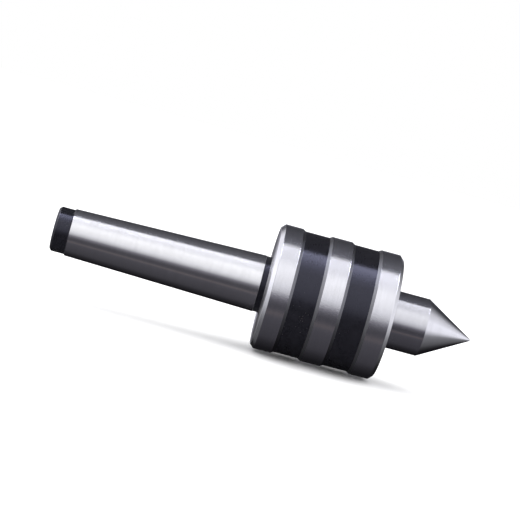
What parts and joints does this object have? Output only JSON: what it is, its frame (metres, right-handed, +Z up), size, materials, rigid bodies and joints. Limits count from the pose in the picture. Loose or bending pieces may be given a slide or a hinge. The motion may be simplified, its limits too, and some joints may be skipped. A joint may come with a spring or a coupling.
{
  "type": "lathe live center",
  "caption": "Live center for a lathe tailstock: Morse taper shank, grooved round barrel, and a 60 degree point that revolves in bearings.",
  "frame": {"origin": "on the axis, in the gauge plane of the Morse taper", "axes": "+X along the axis towards the point, +Z up, +Y to the left of someone looking along +X"},
  "size_m": [0.1791, 0.0534, 0.0535],
  "materials": {
    "housing": "ground bright on the taper and the three lands of the barrel, blackened in the two grooves, on the neck and on the pilot",
    "point": "hardened and ground bright",
    "cap": "turned bright",
    "black_screw": "black oxide",
    "seal_steel": "phosphated pressed steel",
    "seal_rubber": "nitrile rubber, matte",
    "spring_steel": "drawn spring wire",
    "bearing_steel": "hardened, ground and honed",
    "ball_steel": "lapped mirror finish",
    "pressed_steel": "cold pressed sheet",
    "cage_brass": "machined brass"
  },
  "bodies": {
    "barrel": {"housing": "housing", "front_cap": "cap", "cap_lock_screw": "black_screw", "bearing_shim": "bearing_steel", "seal_case": "seal_steel", "seal_lip": "seal_rubber", "seal_garter_spring": "spring_steel", "front_bearing_outer_ring": "bearing_steel", "front_shield": "pressed_steel", "rear_shield": "pressed_steel", "thrust_housing_washer": "bearing_steel", "needle_cup": "bearing_steel"},
    "point": {"spindle": "point", "front_bearing_inner_ring": "bearing_steel", "spindle_circlip": "black_screw", "thrust_shaft_washer": "bearing_steel"},
    "front_cage": {"front_bearing_balls": "ball_steel", "front_cage_front_half": "pressed_steel", "front_cage_rear_half": "pressed_steel", "front_cage_rivets": "pressed_steel"},
    "thrust_cage": {"thrust_balls": "ball_steel", "thrust_cage": "cage_brass"},
    "needle_cage": {"needle_rollers": "ball_steel", "needle_cage": "pressed_steel"}
  },
  "joints": [
    {"name": "point_spin", "type": "hinge", "parent": "barrel", "child": "point", "pos_m": [0.0447, 0, 0], "axis": [1, 0, 0], "continuous": true},
    {"name": "front_cage_spin", "type": "hinge", "parent": "barrel", "child": "front_cage", "pos_m": [0.0447, 0, 0], "axis": [1, 0, 0], "continuous": true},
    {"name": "thrust_cage_spin", "type": "hinge", "parent": "barrel", "child": "thrust_cage", "pos_m": [0.0292, 0, 0], "axis": [1, 0, 0], "continuous": true},
    {"name": "needle_cage_spin", "type": "hinge", "parent": "barrel", "child": "needle_cage", "pos_m": [0.0167, 0, 0], "axis": [1, 0, 0], "continuous": true}
  ],
  "couplings": [
    {"joint": "front_cage_spin", "follows": "point_spin", "ratio": 0.3976},
    {"joint": "thrust_cage_spin", "follows": "point_spin", "ratio": 0.5},
    {"joint": "needle_cage_spin", "follows": "point_spin", "ratio": 0.43}
  ]
}
